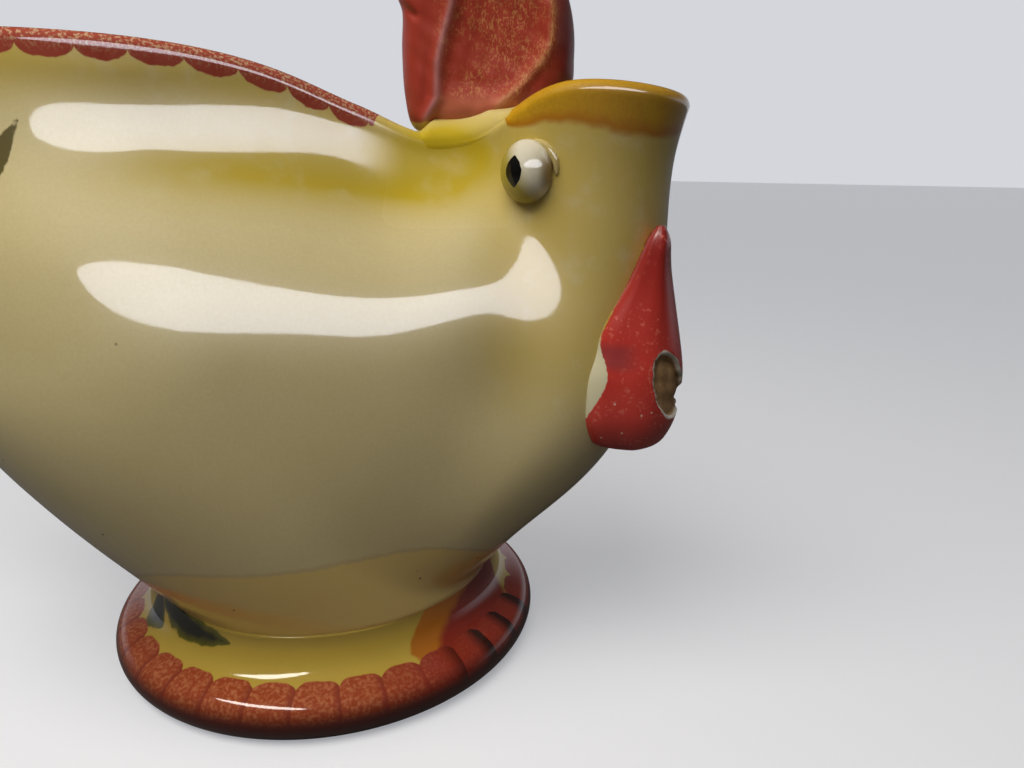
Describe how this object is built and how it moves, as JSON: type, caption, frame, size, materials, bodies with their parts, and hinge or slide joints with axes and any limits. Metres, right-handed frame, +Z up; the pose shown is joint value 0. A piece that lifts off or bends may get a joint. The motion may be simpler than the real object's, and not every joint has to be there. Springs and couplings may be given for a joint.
{
  "type": "gravy boat",
  "caption": "Glazed earthenware gravy boat shaped as a rooster: boat-shaped bowl on a flared foot, open beak as pouring spout, red comb, wattles at the throat and a loop handle at the tail.",
  "frame": {"origin": "on the table under the middle of the boat's bounding box", "axes": "+X towards the beak, +Y towards the bird's left side, +Z up"},
  "size_m": [0.2392, 0.133, 0.1939],
  "materials": {
    "glaze_cream": "glossy cream glaze with ochre washes over terracotta",
    "glaze_amber": "glossy amber glaze",
    "glaze_ochre": "glossy ochre glaze",
    "glaze_red": "glossy brushed red glaze",
    "glaze_white": "glossy white glaze"
  },
  "bodies": {
    "root": {"body_bowl": "glaze_cream", "pedestal_foot": "glaze_ochre", "neck_spout": "glaze_cream", "spout_lip": "glaze_amber", "crown_bridge": "glaze_ochre", "comb": "glaze_red", "eye_right": "glaze_white", "eye_left": "glaze_white", "eyelid_right": "glaze_cream", "eyelid_left": "glaze_cream", "wattle_right": "glaze_red", "wattle_left": "glaze_red", "tail_handle": "glaze_cream"}
  },
  "joints": []
}
